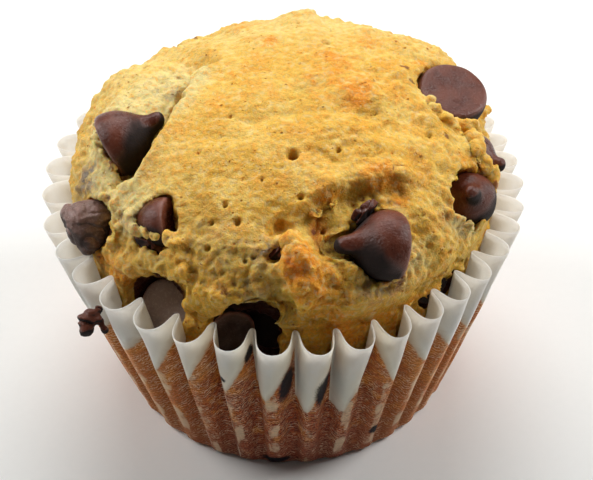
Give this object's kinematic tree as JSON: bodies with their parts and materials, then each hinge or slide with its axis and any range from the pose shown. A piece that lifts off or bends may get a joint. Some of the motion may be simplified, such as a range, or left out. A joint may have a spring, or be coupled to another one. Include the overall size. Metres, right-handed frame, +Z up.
{
  "type": "chocolate chip muffin",
  "caption": "Baked muffin with a lumpy domed top set with chocolate chips, in a fluted round paper case with a flat underside.",
  "frame": {"origin": "centre of the paper case's flat underside, on the surface it stands on", "axes": "+Z up through the dome; -Y towards the front, where the toasted peak and the two chips in the hollow at the rim are; +X to the right seen from the front"},
  "size_m": [0.0685, 0.0687, 0.0496],
  "materials": {
    "crumb": "golden baked crumb, rough and slightly moist",
    "paper": "thin white greaseproof paper, stained brown where the cake touches it",
    "chocolate": "dark chocolate with a soft sheen"
  },
  "bodies": {
    "root": {"cake": "crumb", "paper_case": "paper", "chip_flat_right": "chocolate", "chip_right": "chocolate", "chip_far_right": "chocolate", "chip_front_right": "chocolate", "chip_upper_left": "chocolate", "chip_left": "chocolate", "chip_low_left": "chocolate", "chip_front_dark": "chocolate", "chip_front_deep": "chocolate", "chip_rim_right": "chocolate", "chip_back_left": "chocolate", "chip_back_middle": "chocolate", "chip_back_inner": "chocolate", "chip_back_right": "chocolate", "chunk_left": "chocolate", "shard_slot": "chocolate", "shard_right": "chocolate", "shard_front": "chocolate", "chunk_outside": "chocolate"}
  },
  "joints": []
}
